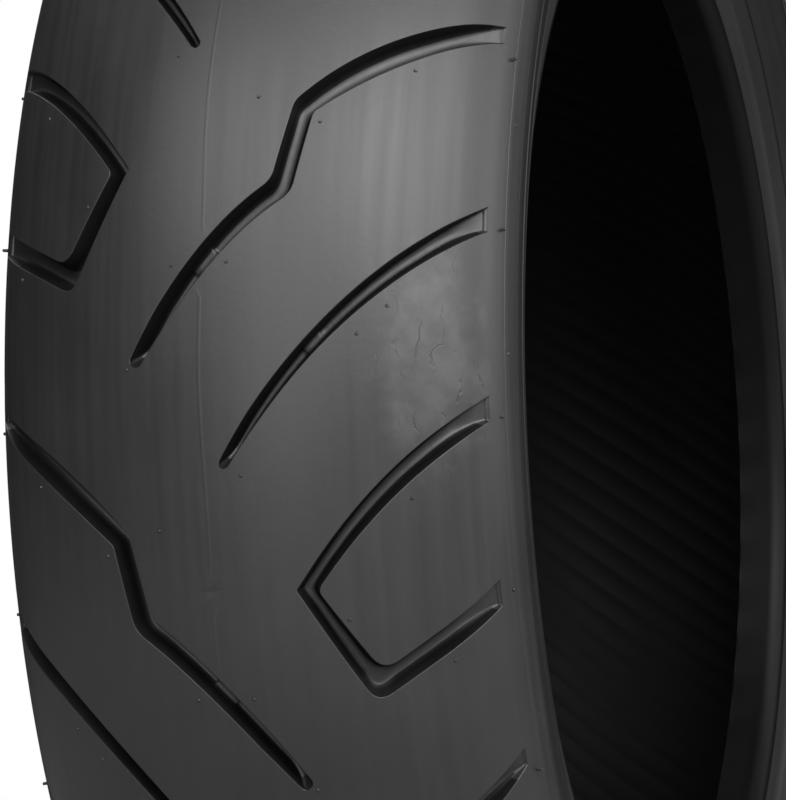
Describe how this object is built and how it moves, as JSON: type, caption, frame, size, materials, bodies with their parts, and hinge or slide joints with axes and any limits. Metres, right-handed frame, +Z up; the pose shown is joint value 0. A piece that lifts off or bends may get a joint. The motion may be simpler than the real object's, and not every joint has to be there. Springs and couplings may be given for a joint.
{
  "type": "motorcycle tire",
  "caption": "Rear cruiser motorcycle tire with a rounded crown, lightning-shaped, plain and hooked tread grooves, and a layered bias-belted casing.",
  "frame": {"origin": "wheel centre: on the axle line, midway between the beads", "axes": "+Y along the axle towards the tire's right side, +Z up, +X the other wheel-plane direction"},
  "size_m": [0.64, 0.18, 0.6398],
  "materials": {
    "tread_rubber": "satin moulded tread rubber",
    "sidewall_rubber": "satin moulded sidewall rubber",
    "cushion_rubber": "hard smooth rubber",
    "liner_rubber": "matte butyl rubber",
    "base_rubber": "matte rubber",
    "filler_rubber": "matte hard rubber",
    "belt_cord": "rubberised aramid cord",
    "ply_cord": "rubberised polyester cord",
    "chafer_fabric": "rubberised woven nylon",
    "bead_steel": "bronze-plated steel wire"
  },
  "bodies": {
    "root": {"tread_cap": "tread_rubber", "tread_base": "base_rubber", "belt_outer": "belt_cord", "belt_inner": "belt_cord", "ply_outer": "ply_cord", "ply_inner": "ply_cord", "inner_liner": "liner_rubber", "tread_wing_left": "sidewall_rubber", "tread_wing_right": "sidewall_rubber", "belt_edge_strip_left": "filler_rubber", "belt_edge_strip_right": "filler_rubber", "sidewall_left": "sidewall_rubber", "sidewall_right": "sidewall_rubber", "apex_left": "filler_rubber", "apex_right": "filler_rubber", "bead_wires_left": "bead_steel", "bead_wires_right": "bead_steel", "bead_wrap_left": "filler_rubber", "bead_wrap_right": "filler_rubber", "chafer_left": "chafer_fabric", "chafer_right": "chafer_fabric", "rim_cushion_left": "cushion_rubber", "rim_cushion_right": "cushion_rubber"}
  },
  "joints": []
}
